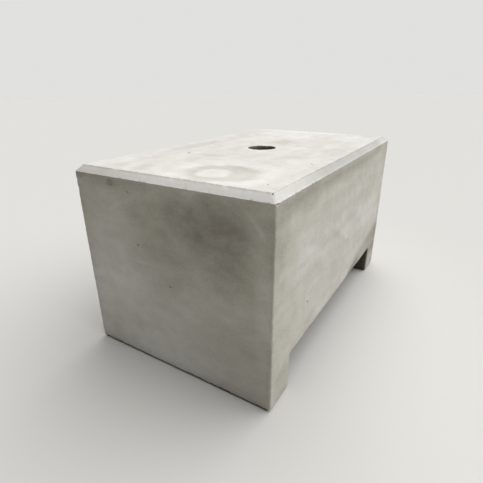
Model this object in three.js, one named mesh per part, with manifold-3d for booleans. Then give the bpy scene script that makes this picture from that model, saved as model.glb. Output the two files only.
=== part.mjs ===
// Concrete ballast block, cast in one piece: a solid block on two feet as wide as itself.
// Between the feet a slot runs through for the forks that lift it.
// A strip of chamfer goes round the top, and a round hole leads down its middle into the slot.
// Millimetres, +Z up, +X along the block. The origin is on the ground under the block's centre.
import * as THREE from "three";
import { mergeVertices } from "three/addons/utils/BufferGeometryUtils.js";
import Module from "manifold-3d";

// Driving dimensions
const LENGTH = 1140;
const WIDTH = 700;
const HEIGHT = 640;
const TOP_CHAMFER = 20; // 45 degree strip along all four top edges
const UPRIGHT_RADIUS = 5; // the four upright edges, nearly sharp
const FOOT_LENGTH = 120; // each foot along the block
const FOOT_ARRIS = 12; // rounding along the edges that the feet stand on
const SLOT_HEIGHT = 127; // ground to the slot's ceiling
const SLOT_FILLET = 15; // where a foot turns into the slot's ceiling
const SLOT_MOUTH_ARRIS = 4; // rounding along the slot's edges in the two long faces
const HOLE_DIAMETER = 105;
const HOLE_ARRIS = 3; // 45 degree edge at both ends of the hole

// How finely curves are faceted
const ARC_STEPS = 4; // curve divisions of an arc in an outline, two facets each
const ROUNDING_STEPS = 4; // facets across a rounded edge
const HOLE_FACETS = 72;

// How far a cutting shape stands beyond the face that it goes through
const CUT_PAST = 10;
const MOUTH_PAST = 0.1;

const QUARTER = Math.PI / 2;

const wasm = await Module();
wasm.setup();

// A closed geometry as a solid that can be joined and cut
function solidOf(geometry) {
  geometry.deleteAttribute("normal");
  geometry.deleteAttribute("uv");
  const merged = mergeVertices(geometry);
  return new wasm.Manifold(
    new wasm.Mesh({
      numProp: 3,
      vertProperties: merged.attributes.position.array,
      triVerts: new Uint32Array(merged.index.array),
    }),
  );
}

// A solid back as a geometry, with one flat normal for each face
function geometryOf(solid) {
  const mesh = solid.getMesh();
  const indexed = new THREE.BufferGeometry();
  indexed.setAttribute("position", new THREE.BufferAttribute(mesh.vertProperties, mesh.numProp));
  indexed.setIndex(new THREE.BufferAttribute(mesh.triVerts, 1));
  const geometry = indexed.toNonIndexed();
  geometry.computeVertexNormals();
  return geometry;
}

// The block's plan, with all four corners rounded by the same radius
function planOutline(radius) {
  const outline = new THREE.Shape();
  const corners = [[1, -1], [1, 1], [-1, 1], [-1, -1]];
  corners.forEach(([alongX, alongY], turn) => {
    const x = alongX * (LENGTH / 2 - radius);
    const y = alongY * (WIDTH / 2 - radius);
    if (radius > 0) {
      outline.absarc(x, y, radius, (turn - 1) * QUARTER, turn * QUARTER);
    } else if (turn === 0) {
      outline.moveTo(x, y);
    } else {
      outline.lineTo(x, y);
    }
  });
  outline.closePath();
  return outline;
}

// The plan extruded between two heights, with its end edges worked in by edge over as many facets
function planSolid(radius, bottom, top, edge, facets) {
  const geometry = new THREE.ExtrudeGeometry(planOutline(radius), {
    depth: top - bottom - 2 * edge,
    curveSegments: ARC_STEPS,
    bevelEnabled: edge > 0,
    bevelThickness: edge,
    bevelSize: edge,
    bevelOffset: -edge,
    bevelSegments: facets,
  });
  geometry.translate(0, 0, bottom + edge);
  return solidOf(geometry);
}

// The block without its slot and hole. Each shape gives one kind of edge, and what is common
// to all three has them all: upright edges, top chamfer, and the rounding that the feet stand on.
function blockBody() {
  const uprights = planSolid(UPRIGHT_RADIUS, -CUT_PAST, HEIGHT + CUT_PAST, 0, 0);
  const chamfered = planSolid(0, -CUT_PAST - TOP_CHAMFER, HEIGHT, TOP_CHAMFER, 1);
  const rounded = planSolid(0, 0, HEIGHT + CUT_PAST + FOOT_ARRIS, FOOT_ARRIS, ROUNDING_STEPS);
  return uprights.intersect(chamfered).intersect(rounded);
}

// The slot from foot to foot, seen along Y: filleted at its ceiling, and flared at the ground
// by the rounding of the feet
function slotOutline() {
  const side = LENGTH / 2 - FOOT_LENGTH;
  const shoulder = side - SLOT_FILLET;
  const sole = side + FOOT_ARRIS;
  const outline = new THREE.Shape();
  outline.moveTo(-sole, -CUT_PAST);
  outline.lineTo(sole, -CUT_PAST);
  outline.lineTo(sole, 0);
  outline.absarc(sole, FOOT_ARRIS, FOOT_ARRIS, 3 * QUARTER, 2 * QUARTER, true);
  outline.absarc(shoulder, SLOT_HEIGHT - SLOT_FILLET, SLOT_FILLET, 0, QUARTER);
  outline.absarc(-shoulder, SLOT_HEIGHT - SLOT_FILLET, SLOT_FILLET, QUARTER, 2 * QUARTER);
  outline.absarc(-sole, FOOT_ARRIS, FOOT_ARRIS, 0, -QUARTER, true);
  outline.closePath();
  return outline;
}

// The fork slot, cut through from one long face to the other. It widens in an arc at both faces,
// which rounds the edges of its mouths.
function forkSlot() {
  const arris = Math.min(SLOT_MOUTH_ARRIS, FOOT_ARRIS);
  const reach = WIDTH + 2 * MOUTH_PAST;
  const geometry = new THREE.ExtrudeGeometry(slotOutline(), {
    depth: reach - 2 * arris,
    curveSegments: ARC_STEPS,
    bevelThickness: arris,
    bevelSize: -arris,
    bevelOffset: arris,
    bevelSegments: ROUNDING_STEPS,
  });
  geometry.translate(0, 0, arris - reach / 2);
  geometry.rotateX(QUARTER);
  return solidOf(geometry);
}

// The upright hole, from the slot's ceiling to the top face
function middleHole() {
  const radius = HOLE_DIAMETER / 2;
  const wide = radius + HOLE_ARRIS + CUT_PAST;
  const profile = [
    new THREE.Vector2(0, SLOT_HEIGHT - CUT_PAST),
    new THREE.Vector2(wide, SLOT_HEIGHT - CUT_PAST),
    new THREE.Vector2(radius, SLOT_HEIGHT + HOLE_ARRIS),
    new THREE.Vector2(radius, HEIGHT - HOLE_ARRIS),
    new THREE.Vector2(wide, HEIGHT + CUT_PAST),
    new THREE.Vector2(0, HEIGHT + CUT_PAST),
  ];
  const geometry = new THREE.LatheGeometry(profile, HOLE_FACETS);
  geometry.rotateX(QUARTER);
  return solidOf(geometry);
}

// Cast concrete: pale warm grey, dry and matt
const concrete = new THREE.MeshStandardMaterial({
  color: 0xbfbbb1,
  roughness: 0.9,
  metalness: 0,
});

const casting = blockBody().subtract(forkSlot()).subtract(middleHole());
const block = new THREE.Mesh(geometryOf(casting), concrete);
block.name = "concrete_block";

const ballast = new THREE.Group();
ballast.add(block);

export default ballast;
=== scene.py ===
# %% [markdown]
# A concrete ballast block
#
# This lesson dresses one precast casting: a block of plain grey concrete on two feet, with a slot
# for lifting forks, a chamfer round the top and a hole down its middle. The frame holds its exact
# size and place in metres. Everything below starts from that frame, so no size is fitted by eye.

# %% Load the frame
import math
import random

import bmesh
import bpy
import numpy as np
from mathutils import Matrix, Vector


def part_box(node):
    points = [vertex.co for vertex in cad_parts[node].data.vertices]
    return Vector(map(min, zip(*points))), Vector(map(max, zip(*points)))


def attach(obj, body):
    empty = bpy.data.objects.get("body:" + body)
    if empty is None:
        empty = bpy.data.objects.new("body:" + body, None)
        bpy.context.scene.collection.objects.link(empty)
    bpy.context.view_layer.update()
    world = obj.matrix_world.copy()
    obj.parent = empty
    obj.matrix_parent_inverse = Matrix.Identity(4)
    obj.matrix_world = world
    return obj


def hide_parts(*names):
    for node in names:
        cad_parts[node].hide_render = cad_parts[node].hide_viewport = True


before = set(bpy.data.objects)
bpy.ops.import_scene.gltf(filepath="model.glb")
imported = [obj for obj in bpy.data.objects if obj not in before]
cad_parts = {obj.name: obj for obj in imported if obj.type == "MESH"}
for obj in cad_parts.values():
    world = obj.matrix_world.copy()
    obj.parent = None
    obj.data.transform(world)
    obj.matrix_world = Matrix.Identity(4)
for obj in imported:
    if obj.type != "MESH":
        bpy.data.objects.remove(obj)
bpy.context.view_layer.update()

MM = 0.001
BLOCK_LOW, BLOCK_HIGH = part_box("concrete_block")
LENGTH, WIDTH, HEIGHT = BLOCK_HIGH - BLOCK_LOW
print(f"block {LENGTH / MM:.0f} x {WIDTH / MM:.0f} x {HEIGHT / MM:.0f} mm")

# %% [markdown]
# The camera comes first, because it decides what is worth modelling. It stands off one corner of
# the block, a little above the top, and looks down. Its place was found by lining up the block's
# straight edges with the photograph's, and the wide lens gives the strong perspective.

# %% Camera
CAMERA_PLACE = Vector((-1279, -698, 866)) * MM
CAMERA_AZIMUTH = math.radians(-58.22)
CAMERA_DOWN = math.radians(22.97)
CAMERA_ROLL = math.radians(-0.48)
LENS_MM = 27.81
SENSOR_MM = 36.0


def add_camera():
    data = bpy.data.cameras.new("photo_camera")
    data.lens = LENS_MM
    data.sensor_width = SENSOR_MM
    camera = bpy.data.objects.new("photo_camera", data)
    turn = Matrix.Rotation(CAMERA_AZIMUTH, 4, "Z")
    tip = Matrix.Rotation(math.pi / 2 - CAMERA_DOWN, 4, "X")
    roll = Matrix.Rotation(CAMERA_ROLL, 4, "Z")
    camera.matrix_world = Matrix.Translation(CAMERA_PLACE) @ turn @ tip @ roll
    bpy.context.scene.collection.objects.link(camera)
    bpy.context.scene.camera = camera


add_camera()
print("camera", [round(v, 3) for v in CAMERA_PLACE], "lens", LENS_MM, "mm")

# %% [markdown]
# Small helpers for materials. A colour is written as the sRGB hex value that a colour picker
# shows, and one function turns it into the linear numbers that a shader needs. Another function
# adds a node, sets it and links it, so that each material below reads as a list of layers.

# %% Colour and node helpers


def linear(hex_colour):
    """The linear RGBA of an sRGB hex colour such as c8c4ba."""
    channels = [int(hex_colour[i : i + 2], 16) / 255 for i in (0, 2, 4)]
    curve = [c / 12.92 if c <= 0.04045 else ((c + 0.055) / 1.055) ** 2.4 for c in channels]
    return (*curve, 1.0)


def add_node(tree, kind, inputs=None, **settings):
    """A node with its settings. An input takes a value, or a socket to link from."""
    made = tree.nodes.new(kind)
    for name, value in settings.items():
        setattr(made, name, value)
    for name, value in (inputs or {}).items():
        if isinstance(value, bpy.types.NodeSocket):
            tree.links.new(value, made.inputs[name])
        else:
            made.inputs[name].default_value = value
    return made


def new_material(name):
    """An empty node material and its shader."""
    made = bpy.data.materials.new(name)
    made.use_nodes = True
    tree = made.node_tree
    return made, tree, tree.nodes["Principled BSDF"]


# %% [markdown]
# The stage: a plain pale floor under soft light. The photograph was taken under an open sky: the
# top is nearly white, the long face is in soft light, and the end face is in shade.

# %% Floor and light
FLOOR_RADIUS = 30.0
FLOOR_SIDES = 64
FLOOR_DROP = 0.5 * MM


def add_floor():
    bpy.ops.object.select_all(action="DESELECT")
    bpy.ops.mesh.primitive_circle_add(
        vertices=FLOOR_SIDES, radius=FLOOR_RADIUS, fill_type="NGON", location=(0, 0, -FLOOR_DROP)
    )
    floor = bpy.context.object
    floor.name = "studio_floor"
    bpy.ops.object.transform_apply(location=True, rotation=True, scale=True)
    paint, tree, shader = new_material("matt_paper")
    shader.inputs["Base Color"].default_value = linear("c0beb7")
    shader.inputs["Roughness"].default_value = 1.0
    shader.inputs["Specular IOR Level"].default_value = 0.0
    floor.data.materials.append(paint)


def add_soft_sun(name, towards, spread, strength, colour):
    """A far, soft light. Towards points from the block to the light. Spread is its width in degrees."""
    data = bpy.data.lights.new(name, "SUN")
    data.angle = math.radians(spread)
    data.energy = strength
    data.color = colour
    light = bpy.data.objects.new(name, data)
    light.rotation_euler = Vector(towards).to_track_quat("Z", "Y").to_euler()
    bpy.context.scene.collection.objects.link(light)


def add_sky(colour, strength, seen_colour, seen_strength):
    """A dim sky all round. What the camera sees behind the floor has its own, brighter colour."""
    world = bpy.data.worlds.new("soft_sky")
    world.use_nodes = True
    tree = world.node_tree
    tree.nodes.clear()
    path = add_node(tree, "ShaderNodeLightPath")
    light = add_node(tree, "ShaderNodeBackground", {"Color": (*colour, 1), "Strength": strength})
    sight = add_node(tree, "ShaderNodeBackground", {"Color": (*seen_colour, 1), "Strength": seen_strength})
    mix = add_node(tree, "ShaderNodeMixShader", {0: path.outputs["Is Camera Ray"]})
    tree.links.new(light.outputs[0], mix.inputs[1])
    tree.links.new(sight.outputs[0], mix.inputs[2])
    add_node(tree, "ShaderNodeOutputWorld", {"Surface": mix.outputs[0]})
    bpy.context.scene.world = world


add_floor()
add_sky(colour=(1.0, 0.97, 0.90), strength=0.03, seen_colour=(1.0, 1.0, 0.975), seen_strength=0.75)
add_soft_sun("sky_glow", towards=(0.47, -0.29, 1.0), spread=95, strength=5.15, colour=(0.985, 1.0, 1.045))
bpy.context.scene.view_settings.view_transform = "Standard"
print("floor, sky and one soft sun")

# %% [markdown]
# The casting. The real block is one pour in a steel or ply mould. The fork slot is left by a box
# in the mould, the chamfer by a strip laid in its corners, and the hole by a plain tube. It could
# be a subdivision surface, but a casting has flat faces and tight edges, so it is built the way
# the mould works: a plain block, a chamfer, a box cut out, and a tube cut out.

# %% Sizes of the mould
TOP_CHAMFER = 20 * MM
UPRIGHT_RADIUS = 5 * MM
FOOT_LENGTH = 120 * MM
FOOT_ARRIS = 12 * MM
SLOT_HEIGHT = 127 * MM
SLOT_FILLET = 15 * MM
SLOT_MOUTH_ARRIS = 4 * MM
HOLE_RADIUS = 52.5 * MM
HOLE_ARRIS = 3 * MM
FILLET_FACETS = 6
ROUNDING_FACETS = 5
HOLE_FACETS = 96
CUT_PAST = 40 * MM
NEAR_ZERO = 0.01 * MM

HALF_LENGTH = LENGTH / 2
HALF_WIDTH = WIDTH / 2
SLOT_SIDE = HALF_LENGTH - FOOT_LENGTH
print(f"slot {2 * SLOT_SIDE / MM:.0f} x {SLOT_HEIGHT / MM:.0f} mm, hole {2 * HOLE_RADIUS / MM:.0f} mm across")

# %% Modelling helpers


def near(value, target, slack=0.1 * MM):
    return abs(value - target) < slack


def deselect_objects():
    if bpy.context.mode != "OBJECT":
        bpy.ops.object.mode_set(mode="OBJECT")
    bpy.ops.object.select_all(action="DESELECT")


def make_active(obj):
    deselect_objects()
    obj.select_set(True)
    bpy.context.view_layer.objects.active = obj


def box_between(name, low, high):
    """A box primitive that fills the space between two corners."""
    deselect_objects()
    low, high = Vector(low), Vector(high)
    bpy.ops.mesh.primitive_cube_add(size=1, location=(low + high) / 2, scale=high - low)
    made = bpy.context.object
    made.name = name
    bpy.ops.object.transform_apply(location=True, rotation=True, scale=True)
    return made


def select_edges(obj, wanted):
    """Enters edit mode with only the edges selected whose two ends pass the test."""
    make_active(obj)
    bpy.ops.object.mode_set(mode="EDIT")
    bpy.ops.mesh.select_mode(type="EDGE")
    bpy.ops.mesh.select_all(action="DESELECT")
    shape = bmesh.from_edit_mesh(obj.data)
    for edge in shape.edges:
        edge.select_set(wanted(edge.verts[0].co, edge.verts[1].co))
    bmesh.update_edit_mesh(obj.data)
    return sum(edge.select for edge in shape.edges)


def apply_modifier(obj, kind, **settings):
    make_active(obj)
    modifier = obj.modifiers.new(kind.lower(), kind)
    for name, value in settings.items():
        setattr(modifier, name, value)
    bpy.ops.object.modifier_apply(modifier=modifier.name)


def cut(obj, tool, solver="EXACT"):
    """Takes the tool's shape out of the object, and deletes the tool."""
    apply_modifier(obj, "BOOLEAN", operation="DIFFERENCE", solver=solver, object=tool)
    bpy.data.objects.remove(tool, do_unlink=True)


# %% Plain block with its top chamfer
block = box_between("ballast_casting", BLOCK_LOW, BLOCK_HIGH)
chamfered = select_edges(block, lambda a, b: near(a.z, HEIGHT) and near(b.z, HEIGHT))
bpy.ops.mesh.bevel(offset=TOP_CHAMFER, offset_type="OFFSET", segments=1, affect="EDGES")
print(chamfered, "top edges chamfered by", round(TOP_CHAMFER / MM), "mm")

# %% Slot and hole
slot_box = box_between(
    "slot_box",
    (-SLOT_SIDE, -HALF_WIDTH - CUT_PAST, -CUT_PAST),
    (SLOT_SIDE, HALF_WIDTH + CUT_PAST, SLOT_HEIGHT),
)
select_edges(slot_box, lambda a, b: near(a.z, SLOT_HEIGHT) and near(b.z, SLOT_HEIGHT) and near(a.x, b.x))
bpy.ops.mesh.bevel(offset=SLOT_FILLET, offset_type="OFFSET", segments=FILLET_FACETS, affect="EDGES")
cut(block, slot_box)

deselect_objects()
bpy.ops.mesh.primitive_cylinder_add(
    vertices=HOLE_FACETS,
    radius=HOLE_RADIUS,
    depth=HEIGHT - SLOT_HEIGHT + 2 * CUT_PAST,
    location=(0, 0, (HEIGHT + SLOT_HEIGHT) / 2),
)
tube = bpy.context.object
bpy.ops.object.transform_apply(location=True, rotation=True, scale=True)
cut(block, tube)
print("slot and hole cut,", len(block.data.polygons), "faces")

# %% [markdown]
# No edge of cast concrete is a knife edge. Wet concrete doesn't quite fill a mould's corners, and
# the edges of the feet were struck off by hand on the open side of the mould, so they are rounder.
# Each kind of edge gets its own radius as a bevel weight, and one Bevel modifier rounds them all
# together, which joins edges of different radii cleanly where they meet at the corners.

# %% Kinds of edges
FACET_SLACK = 0.5 * MM


def on_hole(point):
    return near(math.hypot(point.x, point.y), HOLE_RADIUS, FACET_SLACK)


def on_corner(point):
    return near(abs(point.x), HALF_LENGTH) and near(abs(point.y), HALF_WIDTH)


def is_upright(a, b):
    return on_corner(a) and near(a.x, b.x) and near(a.y, b.y)


def is_mitre(a, b):
    low, high = sorted((a, b), key=lambda point: point.z)
    return near(low.z, HEIGHT - TOP_CHAMFER) and near(high.z, HEIGHT) and on_corner(low)


def is_sole(a, b):
    return near(a.z, 0) and near(b.z, 0)


def in_slot_outline(point):
    return abs(point.x) < SLOT_SIDE + NEAR_ZERO and point.z < SLOT_HEIGHT + NEAR_ZERO


def is_mouth(a, b):
    in_long_face = near(abs(a.y), HALF_WIDTH) and near(a.y, b.y)
    return in_long_face and in_slot_outline(a) and in_slot_outline(b)


def is_rim(a, b):
    return on_hole(a) and on_hole(b) and near(a.z, b.z)


# %% Round the edges
EDGE_KINDS = {
    "soles": (is_sole, FOOT_ARRIS),
    "slot mouths": (is_mouth, SLOT_MOUTH_ARRIS),
    "uprights": (is_upright, UPRIGHT_RADIUS),
    "mitres": (is_mitre, UPRIGHT_RADIUS),
    "hole rims": (is_rim, HOLE_ARRIS),
}
for kind, (test, radius) in EDGE_KINDS.items():
    count = select_edges(block, test)
    bpy.ops.transform.edge_bevelweight(value=radius / FOOT_ARRIS)
    print(kind, count, "edges at", round(radius / MM), "mm")
apply_modifier(
    block,
    "BEVEL",
    width=FOOT_ARRIS,
    limit_method="WEIGHT",
    segments=ROUNDING_FACETS,
    use_clamp_overlap=False,
)
print("rounded,", len(block.data.polygons), "faces")

# %% [markdown]
# Plain faces have nothing to wear. The mesh is cut into squares and then into triangles, and the
# long edges are split again and again until they are short near an arris and long in the middle
# of a face. A multiresolution sculpt would work too, but it spends as many faces on the flats as
# on the edges. Sharing them out by distance keeps the piece well under its limit. Points that come
# closer than the weld are merged after each turn, which keeps thin slivers out of the mesh.

# %% Distance to an arris


def corners(half_x, half_y, z, centre_x=0.0):
    return [(centre_x + sx * half_x, sy * half_y, z) for sx, sy in ((1, 1), (-1, 1), (-1, -1), (1, -1))]


def loop(points):
    return list(zip(points, points[1:] + points[:1]))


def arris_lines():
    """The straight arrises of the block, as pairs of points."""
    lines = loop(corners(HALF_LENGTH - TOP_CHAMFER, HALF_WIDTH - TOP_CHAMFER, HEIGHT))
    lines += loop(corners(HALF_LENGTH, HALF_WIDTH, HEIGHT - TOP_CHAMFER))
    lines += [((x, y, 0), (x, y, HEIGHT - TOP_CHAMFER)) for x, y, _ in corners(HALF_LENGTH, HALF_WIDTH, 0)]
    for side in (-1, 1):
        foot_middle = side * (HALF_LENGTH - FOOT_LENGTH / 2)
        lines += loop(corners(FOOT_LENGTH / 2, HALF_WIDTH, 0, foot_middle))
        x = side * SLOT_SIDE
        for y in (-HALF_WIDTH, HALF_WIDTH):
            lines.append(((x, y, 0), (x, y, SLOT_HEIGHT)))
            lines.append(((0, y, SLOT_HEIGHT), (x, y, SLOT_HEIGHT)))
    return lines


def distance_to_arris(points):
    """How far each point is from the nearest arris, for an array of points."""
    nearest = np.full(len(points), np.inf)
    for start, end in arris_lines():
        start, along = np.array(start), np.subtract(end, start)
        share = np.clip((points - start) @ along / (along @ along), 0, 1)
        nearest = np.minimum(nearest, np.linalg.norm(points - start - share[:, None] * along, axis=1))
    out = np.hypot(points[:, 0], points[:, 1]) - HOLE_RADIUS
    for rim in (SLOT_HEIGHT, HEIGHT):
        nearest = np.minimum(nearest, np.hypot(out, points[:, 2] - rim))
    return nearest


print(len(arris_lines()), "straight arrises and the hole's two rims")

# %% Finer mesh
GRID = 40 * MM
OFF_CENTRE = 0.37 * MM
EDGE_AT_ARRIS = 3 * MM
EDGE_GROWTH = 0.30
EDGE_ON_FACE = 17 * MM
TOO_LONG = 1.4
WELD = 0.4 * MM
MOST_TURNS = 8


def vertex_places(obj):
    flat = np.empty(len(obj.data.vertices) * 3)
    obj.data.vertices.foreach_get("co", flat)
    return flat.reshape(-1, 3)


def edge_ends(obj):
    flat = np.empty(len(obj.data.edges) * 2, dtype=np.int32)
    obj.data.edges.foreach_get("vertices", flat)
    return flat.reshape(-1, 2)


def slice_into_squares(obj, size):
    """Cuts the mesh along all three axes, a little off centre so that no cut lies on an edge."""
    make_active(obj)
    bpy.ops.object.mode_set(mode="EDIT")
    for axis, (low, high) in enumerate(zip(BLOCK_LOW, BLOCK_HIGH)):
        steps = round((high - low) / size)
        for step in range(1, steps):
            place, normal = [0.0] * 3, [0.0] * 3
            place[axis] = low + (high - low) * step / steps + OFF_CENTRE
            normal[axis] = 1.0
            bpy.ops.mesh.select_all(action="SELECT")
            bpy.ops.mesh.bisect(plane_co=place, plane_no=normal)
    bpy.ops.mesh.select_all(action="SELECT")
    bpy.ops.mesh.remove_doubles(threshold=WELD)
    bpy.ops.mesh.quads_convert_to_tris(quad_method="BEAUTY", ngon_method="BEAUTY")
    bpy.ops.object.mode_set(mode="OBJECT")


def split_long_edges(obj):
    """Halves every edge that is too long for its distance from an arris."""
    places, ends = vertex_places(obj), edge_ends(obj)
    a, b = places[ends[:, 0]], places[ends[:, 1]]
    away = distance_to_arris((a + b) / 2)
    right_length = np.clip(EDGE_AT_ARRIS + EDGE_GROWTH * away, None, EDGE_ON_FACE)
    chosen = np.linalg.norm(a - b, axis=1) > TOO_LONG * right_length
    obj.data.polygons.foreach_set("select", [False] * len(obj.data.polygons))
    obj.data.vertices.foreach_set("select", [False] * len(obj.data.vertices))
    obj.data.edges.foreach_set("select", chosen)
    bpy.ops.object.mode_set(mode="EDIT")
    bpy.ops.mesh.select_mode(type="EDGE")
    bpy.ops.mesh.subdivide(number_cuts=1, ngon=False)
    bpy.ops.mesh.select_all(action="SELECT")
    bpy.ops.mesh.remove_doubles(threshold=WELD)
    bpy.ops.mesh.quads_convert_to_tris(quad_method="SHORTEST_DIAGONAL", ngon_method="BEAUTY")
    bpy.ops.object.mode_set(mode="OBJECT")
    return int(chosen.sum())


slice_into_squares(block, GRID)
print("sliced,", len(block.data.polygons), "triangles")
make_active(block)
for turn in range(MOST_TURNS):
    if split_long_edges(block) == 0:
        break
print("refined,", len(block.data.polygons), "triangles after", turn, "turns")

# %% [markdown]
# Three kinds of wear turn the clean casting into a used one. The mould's faces were never quite
# flat, so the whole skin is uneven by a millimetre. The arrises are chipped and rubbed, which
# needs deeper marks, but only near an edge. The soles stood on rough ground, so their edges
# wander more. All of it is taken inwards with Displace modifiers, because concrete is lost and
# never gained, and so the block keeps to its own size. Sculpting would do it by hand, but a
# texture gives the same grain all round and can be run again.

# %% Unevenness and worn arrises
WEIGHT_STEPS = 20


def weight_vertices(obj, name, weights):
    """A vertex group from an array of weights, written in steps to keep it quick."""
    group = obj.vertex_groups.new(name=name)
    levels = np.round(np.clip(weights, 0, 1) * WEIGHT_STEPS).astype(int)
    for level in range(1, WEIGHT_STEPS + 1):
        members = np.nonzero(levels == level)[0].tolist()
        if members:
            group.add(members, level / WEIGHT_STEPS, "REPLACE")


def cloud_texture(name, size, depth, loss=None):
    """A cloud pattern of a size in metres. Loss keeps the skin whole below its first value."""
    made = bpy.data.textures.new(name, "CLOUDS")
    made.noise_scale = size
    made.noise_depth = depth
    if loss:
        made.use_color_ramp = True
        ramp = made.color_ramp
        ramp.elements[0].position, ramp.elements[1].position = loss
        ramp.elements[0].color, ramp.elements[1].color = (1, 1, 1, 1), (0, 0, 0, 1)
    return made


def displace(obj, texture, depth, mid_level, group=""):
    """Moves the skin by a texture. A middle level of one means inwards only."""
    apply_modifier(
        obj,
        "DISPLACE",
        texture=texture,
        texture_coords="LOCAL",
        direction="NORMAL",
        strength=depth,
        mid_level=mid_level,
        vertex_group=group,
    )


ARRIS_BAND = 14 * MM
SOLE_BAND = 30 * MM

# Name, size and detail of the clouds, the values between which they wear, depth, and where
WEAR = (
    ("mould_waves", 90 * MM, 2, None, 1.0 * MM, ""),
    ("rubbed_arris", 12 * MM, 3, (0.46, 0.85), 1.2 * MM, "near_arris"),
    ("chipped_arris", 34 * MM, 4, (0.62, 0.78), 1.8 * MM, "near_arris"),
    ("rough_sole", 30 * MM, 3, (0.40, 0.85), 3.0 * MM, "near_sole"),
)

places = vertex_places(block)
near_arris = 1 - distance_to_arris(places) / ARRIS_BAND
near_sole = (1 - places[:, 2] / SOLE_BAND) * (1 - distance_to_arris(places) / SOLE_BAND)
weight_vertices(block, "near_arris", near_arris)
weight_vertices(block, "near_sole", near_sole)
for name, size, detail, loss, depth, group in WEAR:
    displace(block, cloud_texture(name, size, detail, loss), depth, 1.0, group)

# A worn corner can push a stray point out by a hair, so all points are kept inside the mould
inside = np.clip(vertex_places(block), BLOCK_LOW, BLOCK_HIGH)
block.data.vertices.foreach_set("co", inside.ravel())
block.data.update()
print("worn,", int((near_arris > 0).sum()), "vertices near an arris")

# %% [markdown]
# Air bubbles that were trapped against the mould leave small round pits. A pit has a sharp rim
# and goes in deeper than a normal can be bent, so it is cut as a real hole: many small icospheres
# are joined into one tool and taken out of the block in a single boolean. The chips on the
# arrises are larger, flatter ones. The few that stand out are listed one by one, the rest placed at
# random from a fixed seed. What shows in the photograph is well filled, so random marks stay small there.

# %% Where the pits and chips are
PIT_COUNT = 170
PIT_MARGIN = 20 * MM
CHIP_COUNT = 22
random.seed(41)

# Half sizes in millimetres: the smallest, and how much more the largest has, seen and unseen
PIT_SIZE, PIT_MORE_SEEN, PIT_MORE_UNSEEN = 1.2, 0.8, 3.8
CHIP_SIZE, CHIP_MORE_SEEN, CHIP_MORE_UNSEEN = 2, 0.5, 4

# Place of the centre, and half sizes, in millimetres
PLACED_MARKS = (
    ((-570, 108, 421), (4, 5, 5)),
    ((-570, 124, 582), (3, 5, 5)),
    ((-570, -10, 312), (4, 5, 4)),
    ((-334, -350, 242), (8, 5, 7)),
    ((-488, -285, 640), (3, 3, 3)),
    ((-229, 170, 640), (9, 9, 4)),
    ((-201, -284, 640), (4, 5, 4)),
    ((-551, -331, 637), (2.4, 2.4, 5)),
    ((-564, -351, 618), (10, 4, 4)),
    ((-551, -23, 641), (5, 7, 3)),
    ((-551, -138, 641), (5, 6, 3)),
    ((-562, 236, 631), (3, 8, 3)),
)


def random_face_place(margin):
    """A random place on one of the flat outer faces, away from the arrises."""
    x = random.uniform(-HALF_LENGTH + margin, HALF_LENGTH - margin)
    y = random.uniform(-HALF_WIDTH + margin, HALF_WIDTH - margin)
    z = random.uniform(margin, HEIGHT - TOP_CHAMFER - margin)
    face = random.choices(("top", "side", "end"), (1, 2, 1))[0]
    if face == "top":
        return (x, y, HEIGHT) if math.hypot(x, y) > HOLE_RADIUS + margin else random_face_place(margin)
    if face == "end":
        return random.choice((-HALF_LENGTH, HALF_LENGTH)), y, z
    if abs(x) < SLOT_SIDE + margin and z < SLOT_HEIGHT + margin:
        return random_face_place(margin)
    return x, random.choice((-HALF_WIDTH, HALF_WIDTH)), z


def random_arris_place():
    lines = arris_lines()
    start, end = random.choices(lines, [math.dist(*line) for line in lines])[0]
    return Vector(start).lerp(Vector(end), random.uniform(0.03, 0.97))


def in_photo(place):
    """True on the faces that the photograph shows."""
    on_top = place.z > HEIGHT - TOP_CHAMFER - 1 * MM
    return on_top or near(place.x, -HALF_LENGTH) or near(place.y, -HALF_WIDTH)


def random_marks():
    """Pits on the faces and chips on the arrises, most of them small."""
    marks = []
    for _ in range(PIT_COUNT):
        place = Vector(random_face_place(PIT_MARGIN))
        more = PIT_MORE_SEEN if in_photo(place) else PIT_MORE_UNSEEN
        size = (PIT_SIZE + more * random.random() ** 3) * MM
        marks.append((place, Vector([size * random.uniform(0.8, 1.25) for _ in "xyz"])))
    for _ in range(CHIP_COUNT):
        place = random_arris_place()
        more = CHIP_MORE_SEEN if in_photo(place) else CHIP_MORE_UNSEEN
        size = (CHIP_SIZE + more * random.random() ** 2) * MM
        marks.append((place, Vector([size * random.uniform(0.6, 1.5) for _ in "xyz"])))
    return marks


def apart(mark, others):
    return all((mark[0] - other[0]).length > mark[1].length + other[1].length for other in others)


marks = [(Vector(place) * MM, Vector(half_sizes) * MM) for place, half_sizes in PLACED_MARKS]
for mark in random_marks():
    if apart(mark, marks):
        marks.append(mark)
print(len(marks), "pits and chips,", len(PLACED_MARKS), "of them placed by hand")

# %% Cut them
SMOOTH_BELOW = math.radians(32)


def mark_tool(marks):
    """One object made of an irregular icosphere for each mark."""
    parts = []
    for place, half_sizes in marks:
        deselect_objects()
        bpy.ops.mesh.primitive_ico_sphere_add(subdivisions=2, radius=1, location=place, scale=half_sizes)
        parts.append(bpy.context.object)
    deselect_objects()
    for part in parts:
        part.select_set(True)
    bpy.context.view_layer.objects.active = parts[0]
    bpy.ops.object.join()
    bpy.ops.object.transform_apply(location=True, rotation=True, scale=True)
    tool = bpy.context.object
    displace(tool, cloud_texture("broken_face", 5 * MM, 2), 0.9 * MM, 0.5)
    return tool


cut(block, mark_tool(marks), solver="MANIFOLD")
make_active(block)
bpy.ops.object.shade_smooth_by_angle(angle=SMOOTH_BELOW)
print("cut,", len(block.data.polygons), "faces")

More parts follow.
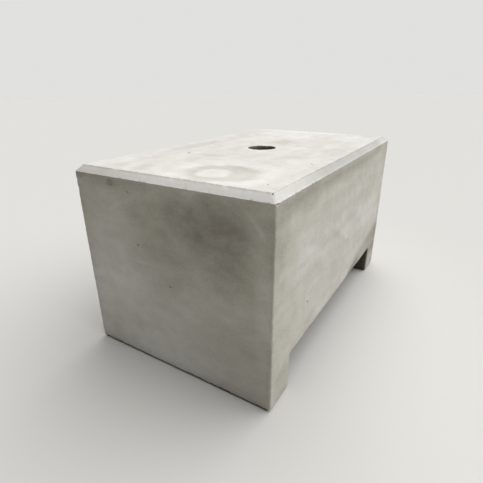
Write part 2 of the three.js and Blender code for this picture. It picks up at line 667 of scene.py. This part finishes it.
# %% [markdown]
# Rain washes a flat face but leaves its dirt in a pit, so on a real block the pits read as dark
# dots. Each face inside a mark gets a number that the material reads. It is kept for faces and
# not for points, because a point on the rim would spread the dirt over the clean face beside it.

# %% Dirt in the pits
DIRT_MARGIN = 0.6 * MM
DIRT_REACH = 1.15


def faces_within(obj, inside):
    """For each face, 1 if all of its points are inside and 0 if not."""
    corner_points = np.empty(len(obj.data.loops), dtype=np.int32)
    obj.data.loops.foreach_get("vertex_index", corner_points)
    first_corners = np.empty(len(obj.data.polygons), dtype=np.int32)
    obj.data.polygons.foreach_get("loop_start", first_corners)
    return np.minimum.reduceat(inside[corner_points], first_corners)


places = vertex_places(block)
inside = np.zeros(len(places))
for place, half_sizes in marks:
    scaled = (places - np.array(place)) / (np.array(half_sizes) + DIRT_MARGIN)
    inside[np.linalg.norm(scaled, axis=1) < DIRT_REACH] = 1.0
in_mark = faces_within(block, inside)
dirt = block.data.attributes.new("pit_dirt", "FLOAT", "FACE")
dirt.data.foreach_set("value", in_mark)
print(int(in_mark.sum()), "faces hold dirt")

# %% [markdown]
# The finish is cast concrete: cement paste, sand and small stones, cured dry and then weathered.
# Dry cement is a dull, rough insulator, so it isn't metallic, its roughness is near one and its
# IOR is about 1.5. What gives it life is its tone, which changes at every size: broad clouds from
# the pour, slanting lines where one barrowful met the next, sand grains, pinholes, and stains.
# One number, the tone, is built up from all of these, and a colour ramp turns it into a colour at
# the end. A photograph pasted on would be quicker, but it would only fit one side and one light.

# %% Helpers for the tone
concrete, tree, shader = new_material("cast_concrete")
coordinates = add_node(tree, "ShaderNodeTexCoord")
here = coordinates.outputs["Object"]


def per_metre(size_mm):
    """The scale of a pattern whose parts are this many millimetres across."""
    return 1000 / size_mm


def calculate(operation, *values):
    return add_node(tree, "ShaderNodeMath", dict(enumerate(values)), operation=operation).outputs[0]


def rises(value, start, end, amount):
    """Goes smoothly from nothing at the start to the amount at the end."""
    made = add_node(
        tree,
        "ShaderNodeMapRange",
        {"Value": value, "From Min": start, "From Max": end, "To Max": amount},
        interpolation_type="SMOOTHSTEP",
    )
    return made.outputs[0]


def layer(tone, pattern, amount):
    """Adds a pattern, which runs from 0 to 1 about 0.5, to the tone."""
    return calculate("MULTIPLY_ADD", calculate("SUBTRACT", pattern, 0.5), amount, tone)


def where(tone, mask, amount):
    """Adds an amount to the tone as far as the mask is one."""
    return calculate("MULTIPLY_ADD", mask, amount, tone)


def noise(size_mm, detail, vector=here, roughness=0.55):
    made = add_node(
        tree,
        "ShaderNodeTexNoise",
        {"Vector": vector, "Scale": per_metre(size_mm), "Detail": detail, "Roughness": roughness},
    )
    return made.outputs


def bend(vector, size_mm, reach_mm):
    """Pushes the coordinates about, so that a smooth shape gets a natural outline."""
    centred = add_node(
        tree,
        "ShaderNodeVectorMath",
        {0: noise(size_mm, 3)["Color"], 1: (0.5, 0.5, 0.5)},
        operation="SUBTRACT",
    )
    bent = add_node(
        tree,
        "ShaderNodeVectorMath",
        {0: centred.outputs[0], 1: (2 * reach_mm * MM,) * 3, 2: vector},
        operation="MULTIPLY_ADD",
    )
    return bent.outputs[0]


# %% Clouds, grains, pinholes and pour lines

# Each row is a size in millimetres and how fine its detail is, then how far it moves the tone
tone = layer(0.5, noise(260, 3)["Fac"], 0.30)
tone = layer(tone, noise(55, 5)["Fac"], 0.20)
tone = layer(tone, noise(9, 4)["Fac"], 0.16)
tone = layer(tone, noise(2.4, 2)["Fac"], 0.30)

# Dirt in the pits and chips
held_dirt = add_node(tree, "ShaderNodeAttribute", attribute_type="GEOMETRY", attribute_name="pit_dirt")
tone = where(tone, held_dirt.outputs["Fac"], -0.20)

# Pinholes about 2 mm across in the paste, one in most cells of a 21 mm pattern
pinholes = add_node(tree, "ShaderNodeTexVoronoi", {"Vector": here, "Scale": per_metre(21), "Randomness": 1.0})
tone = where(tone, rises(pinholes.outputs["Distance"], 0.075, 0.035, 1.0), -0.30)

# Pour lines slant down along the block, about 20 degrees, a few centimetres apart
POUR_SLANT = (0, math.radians(-23), 0)
POUR_STRETCH = (0.12, 0.5, 1)
slanted = add_node(
    tree,
    "ShaderNodeMapping",
    {"Vector": bend(here, size_mm=180, reach_mm=30), "Rotation": POUR_SLANT, "Scale": POUR_STRETCH},
)
tone = layer(tone, noise(42, 4, slanted.outputs[0])["Fac"], 0.34)
print(len(tree.nodes), "nodes for the plain concrete")

# %% [markdown]
# Stains are what makes one block differ from the next: the ring where something round stood on the
# top, the dark patch on the end, the pale streaks down the long face. They could be painted as a
# picture, but a picture has one size and one side. Here each is a soft ellipse in one row of a
# list. It lightens or darkens the tone, and all of them share an outline that noise has bent.

# %% Stains, with some painted light and shade
bent_widely = bend(here, size_mm=110, reach_mm=22)
bent_here = bend(bent_widely, size_mm=24, reach_mm=7)

# Face, place of the middle on it, half sizes and turn in the face's own plane, change of tone, and
# how soft its edge is. Lengths are in millimetres and turns in degrees. The top is read in X and Y,
# the end in Y and Z, and the side in X and Z.
STAINS = (
    ("top", (-440, -110), (195, 190), 0, 0.07, 0.22),
    ("top", (-440, -116), (112, 134), 0, -0.23, 0.30),
    ("top", (-454, -97), (62, 64), 0, 0.22, 0.40),
    ("top", (-366, -175), (42, 90), 0, -0.09, 0.80),
    ("top", (-395, 250), (110, 60), 0, 0.05, 0.60),
    ("top", (-75, 255), (220, 45), 2, -0.12, 0.70),
    ("top", (-495, 130), (65, 38), 10, -0.09, 0.60),
    ("top", (155, 5), (35, 66), -15, -0.13, 0.90),
    ("top", (105, -108), (44, 24), 20, -0.13, 0.90),
    ("top", (248, -100), (50, 30), -10, -0.11, 0.90),
    ("top", (-225, 62), (36, 74), 0, -0.11, 0.90),
    ("top", (-132, -182), (74, 58), 0, -0.09, 0.90),
    ("top", (400, -235), (140, 100), 0, 0.08, 0.60),
    ("top", (430, 0), (150, 350), 0, 0.03, 0.50),
    ("top", (-200, 156), (28, 20), 0, 0.09, 0.90),
    ("top", (0, 0), (84, 84), 0, 0.09, 0.40),
    ("top", (180, 10), (130, 110), 0, -0.09, 0.80),
    ("top", (-475, 8), (50, 40), 0, -0.09, 0.80),
    ("top", (545, 60), (50, 330), 0, 0.16, 0.60),
    ("top", (-545, -110), (22, 62), 0, -0.14, 0.90),
    ("top", (150, -30), (130, 90), 0, -0.08, 0.80),
    ("end", (-150, 530), (240, 130), -8, -0.12, 0.85),
    ("end", (-165, 562), (120, 50), -6, -0.05, 0.80),
    ("end", (-120, 505), (280, 200), 0, -0.12, 0.90),
    ("end", (-215, 440), (120, 170), -10, -0.12, 0.90),
    ("end", (240, 340), (200, 280), 0, 0.19, 0.80),
    # The next two rows lift the lower end face: painted light against the shade that the floor gives it
    ("end", (100, 160), (400, 260), 0, 0.24, 0.90),
    ("end", (40, 0), (480, 170), 0, 0.34, 0.90),
    ("end", (-230, 18), (150, 40), 0, -0.06, 0.80),
    ("end", (200, 606), (20, 16), 0, -0.18, 0.60),
    ("end", (325, 612), (50, 18), 0, -0.16, 0.70),
    ("end", (146, 549), (120, 12), -27, 0.07, 0.80),
    ("end", (-305, 555), (58, 11), 54, 0.10, 0.80),
    # A thin dark line beside the near upright arris: painted shade
    ("end", (-344, 330), (9, 300), 0, -0.08, 0.70),
    ("end", (180, 614), (190, 40), 0, -0.13, 0.80),
    ("end", (330, 170), (90, 230), 0, 0.13, 0.80),
    ("end", (-325, 330), (40, 330), 0, 0.12, 0.80),
    ("end", (112, 371), (92, 6), 3, 0.08, 0.80),
    ("end", (112, 325), (92, 6), 3, 0.07, 0.80),
    ("side", (60, 400), (620, 340), 0, 0.08, 0.30),
    ("side", (-330, 588), (330, 60), 0, -0.10, 0.80),
    ("side", (-50, 592), (240, 48), 0, -0.10, 0.80),
    ("side", (230, 580), (190, 44), 0, -0.10, 0.80),
    ("side", (510, 608), (110, 36), 0, 0.10, 0.80),
    ("side", (-80, 520), (260, 60), 0, -0.09, 0.90),
    ("side", (520, 300), (70, 60), 0, 0.10, 0.90),
    ("side", (-535, 530), (66, 120), 0, -0.11, 0.70),
    ("side", (-540, 240), (40, 330), 0, -0.02, 0.70),
    ("side", (-506, 60), (62, 90), 0, -0.06, 0.50),
    ("side", (-345, 435), (125, 85), -20, 0.06, 0.90),
    ("side", (-294, 403), (185, 24), -25, 0.08, 0.80),
    ("side", (-20, 385), (150, 62), -20, 0.06, 0.90),
    ("side", (42, 332), (58, 15), -19, 0.08, 0.80),
    ("side", (-64, 372), (225, 20), -29, -0.10, 0.80),
    ("side", (325, 345), (190, 110), 0, 0.10, 0.70),
    ("side", (420, 148), (430, 86), 6, -0.22, 0.45),
    ("side", (170, 400), (90, 60), -20, 0.13, 0.90),
    ("side", (-40, 133), (400, 10), 0, -0.06, 0.60),
    ("side", (-180, 155), (170, 28), 0, 0.10, 0.90),
    ("side", (180, 140), (140, 30), 6, -0.20, 0.70),
    ("side", (520, 60), (66, 90), 0, -0.08, 0.50),
    ("side", (-334, 245), (26, 24), 0, 0.14, 0.90),
)

# How far a stain goes in from its face
REACH_IN = 45


def stain(tone, face, middle, half_sizes, turn, amount, softness):
    """Lightens or darkens an ellipse on one face, and returns the new tone."""
    (u, v), (wide, high), turn = middle, half_sizes, math.radians(turn)
    place, sizes, turned = {
        "top": ((u, v, HEIGHT / MM), (wide, high, REACH_IN), (0, 0, turn)),
        "end": ((-HALF_LENGTH / MM, u, v), (REACH_IN, wide, high), (turn, 0, 0)),
        "side": ((u, -HALF_WIDTH / MM, v), (wide, REACH_IN, high), (0, -turn, 0)),
    }[face]
    place, sizes = Vector(place) * MM, Vector(sizes) * MM
    fitted = add_node(
        tree,
        "ShaderNodeMapping",
        {"Vector": bent_here, "Location": place, "Rotation": turned, "Scale": sizes},
        vector_type="TEXTURE",
    )
    ball = add_node(tree, "ShaderNodeTexGradient", {"Vector": fitted.outputs[0]}, gradient_type="SPHERICAL")
    return calculate("ADD", tone, rises(ball.outputs["Fac"], 0.0, softness, amount))


for blot in STAINS:
    tone = stain(tone, *blot)
print(len(STAINS), "stains")

# %% [markdown]
# Some tones go with the shape. The top is washed by rain and lies palest, dirt lies along the
# chamfer, painted light lifts the end chamfer, and painted shade darkens the insides of the slot
# and the hole. These come from the way the surface faces and from where it is. A mask is one where
# its part of the block is and nothing elsewhere, and it decides how far a tone reaches.

# %% Masks from the shape
spot = add_node(tree, "ShaderNodeSeparateXYZ", {"Vector": here}).outputs
facing = add_node(tree, "ShaderNodeSeparateXYZ", {"Vector": coordinates.outputs["Normal"]}).outputs

# The chamfer over the end and the one over the long side, and the long side itself. The chamfer
# faces up by 0.71 and the top by 1, and each rise begins and ends between such numbers.
sloping = calculate("SUBTRACT", rises(facing["Z"], 0.40, 0.60, 1.0), rises(facing["Z"], 0.80, 0.95, 1.0))
end_strip = calculate("MULTIPLY", sloping, rises(facing["X"], -0.3, -0.6, 1.0))
side_strip = calculate("MULTIPLY", sloping, rises(facing["Y"], -0.3, -0.6, 1.0))
side_face = rises(facing["Y"], -0.80, -0.95, 1.0)

# The inside of the slot, up to the rounding of its mouths, and the inside of the hole
from_middle = calculate("ABSOLUTE", spot["X"])
from_centre_line = calculate("ABSOLUTE", spot["Y"])
in_slot = calculate(
    "MULTIPLY",
    rises(from_middle, SLOT_SIDE + 6 * MM, SLOT_SIDE + 2 * MM, 1.0),
    rises(spot["Z"], SLOT_HEIGHT + 6 * MM, SLOT_HEIGHT + 2 * MM, 1.0),
)
behind_mouths = rises(from_centre_line, HALF_WIDTH - 1 * MM, HALF_WIDTH - 12 * MM, 1.0)
in_slot = calculate("MULTIPLY", in_slot, behind_mouths)
x_squared = calculate("POWER", spot["X"], 2.0)
y_squared = calculate("POWER", spot["Y"], 2.0)
from_axis = calculate("SQRT", calculate("ADD", x_squared, y_squared))
in_hole = calculate(
    "MULTIPLY",
    rises(from_axis, HOLE_RADIUS + 4 * MM, HOLE_RADIUS, 1.0),
    rises(spot["Z"], HEIGHT, HEIGHT - 10 * MM, 1.0),
)
print(len(tree.nodes), "nodes with the masks")

# %% Tones that follow the shape
washed = rises(facing["Z"], 0.80, 0.97, 0.15)
tone = calculate("ADD", tone, washed)

# Painted light lifts the end chamfer, most by the long side; the long chamfer is darker at -X, paler at +X
tone = where(tone, end_strip, rises(spot["Y"], 0.24, 0.06, 0.34))
greyed = calculate("ADD", rises(spot["X"], -0.50, -0.15, -0.44), rises(spot["X"], 0.34, 0.48, 0.34))
tone = where(tone, side_strip, greyed)

# Dirt lies along the chamfer's upper arris, less on the long side, whose lower arris is rubbed pale
end_dirt = rises(spot["Z"], HEIGHT - 6 * MM, HEIGHT - 2 * MM, -0.42)
side_dirt = rises(spot["Z"], HEIGHT - 4 * MM, HEIGHT - 1 * MM, -0.22)
rubbed = rises(spot["Z"], HEIGHT - 13 * MM, HEIGHT - 19 * MM, 0.14)
tone = where(tone, end_strip, end_dirt)
tone = where(tone, side_strip, calculate("ADD", side_dirt, rubbed))

# The long face is darker in a band just under its chamfer
under_chamfer_band = rises(spot["Z"], HEIGHT - 75 * MM, HEIGHT - 35 * MM, -0.14)
tone = where(tone, side_face, under_chamfer_band)
# Painted shade: the insides of the slot and the hole are darkened for the deep shade in them
tone = where(tone, in_slot, -0.55)
tone = where(tone, in_hole, -0.52)
print(len(tree.nodes), "nodes with the tones")

# %% [markdown]
# The ramp gives the tone its colour: damp, dirty concrete is a dark brownish grey, plain concrete a
# warm mid grey, and rain and sun bleach it nearly white. A few parts are tinted beyond the ramp.
# The colours are those of dry cement under a white light, matched to the photograph.

# %% Colour
PALE, PLAIN, DARK = "dddcd5", "b7b3a7", "6f695d"
WARM_PAINTED_LIGHT, BLEACHED, SLOT_SHADE = "e6e1d7", "c8c6c1", "45423a"
ramp = add_node(tree, "ShaderNodeValToRGB", {"Fac": tone})
ramp.color_ramp.elements[0].position = 0.0
ramp.color_ramp.elements[1].position = 1.0
ramp.color_ramp.elements[0].color = linear(DARK)
ramp.color_ramp.elements[1].color = linear(PALE)
ramp.color_ramp.elements.new(0.5).color = linear(PLAIN)


def tint(colour, mask, share, hex_colour):
    """Takes a share of another colour where the mask is one."""
    made = add_node(tree, "ShaderNodeMix", data_type="RGBA")
    tree.links.new(calculate("MULTIPLY", mask, share), made.inputs[0])
    tree.links.new(colour, made.inputs[6])
    made.inputs[7].default_value = linear(hex_colour)
    return made.outputs[2]


# The end chamfer is mixed towards a warm pale colour, painted light that also warms it, the long one
# is bleached by the weather, and the slot's inside is mixed towards a dark colour for painted shade
colour = tint(ramp.outputs["Color"], end_strip, 0.6, WARM_PAINTED_LIGHT)
colour = tint(colour, side_strip, 0.5, BLEACHED)
colour = tint(colour, in_slot, 0.6, SLOT_SHADE)
tree.links.new(colour, shader.inputs["Base Color"])
shader.inputs["Roughness"].default_value = 0.92
shader.inputs["IOR"].default_value = 1.5
shader.inputs["Specular IOR Level"].default_value = 0.3
print("colours", DARK, PLAIN, PALE)

# %% [markdown]
# What is too small for the mesh is a bump in the material: sand grains about 1.5 mm across, and low
# bumps about 12 mm across left by the mould. The soles were the open top of the mould and were only
# floated by hand, so their bumps are much deeper.

# %% Grain
under = calculate("MULTIPLY", rises(facing["Z"], -0.8, -0.95, 1.0), rises(spot["Z"], 6 * MM, 3 * MM, 1.0))
floated = add_node(
    tree, "ShaderNodeBump", {"Height": noise(16, 4)["Fac"], "Strength": under, "Distance": 4 * MM}
)
bumps = add_node(
    tree,
    "ShaderNodeBump",
    {"Height": noise(12, 3)["Fac"], "Strength": 0.5, "Distance": 0.8 * MM, "Normal": floated.outputs[0]},
)
grains = add_node(
    tree,
    "ShaderNodeBump",
    {"Height": noise(1.5, 2)["Fac"], "Strength": 0.5, "Distance": 0.35 * MM, "Normal": bumps.outputs[0]},
)
tree.links.new(grains.outputs[0], shader.inputs["Normal"])
block.data.materials.clear()
block.data.materials.append(concrete)
print(len(tree.nodes), "nodes in", concrete.name)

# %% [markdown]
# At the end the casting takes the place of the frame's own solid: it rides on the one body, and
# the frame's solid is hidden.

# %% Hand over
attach(block, "root")
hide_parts("concrete_block")
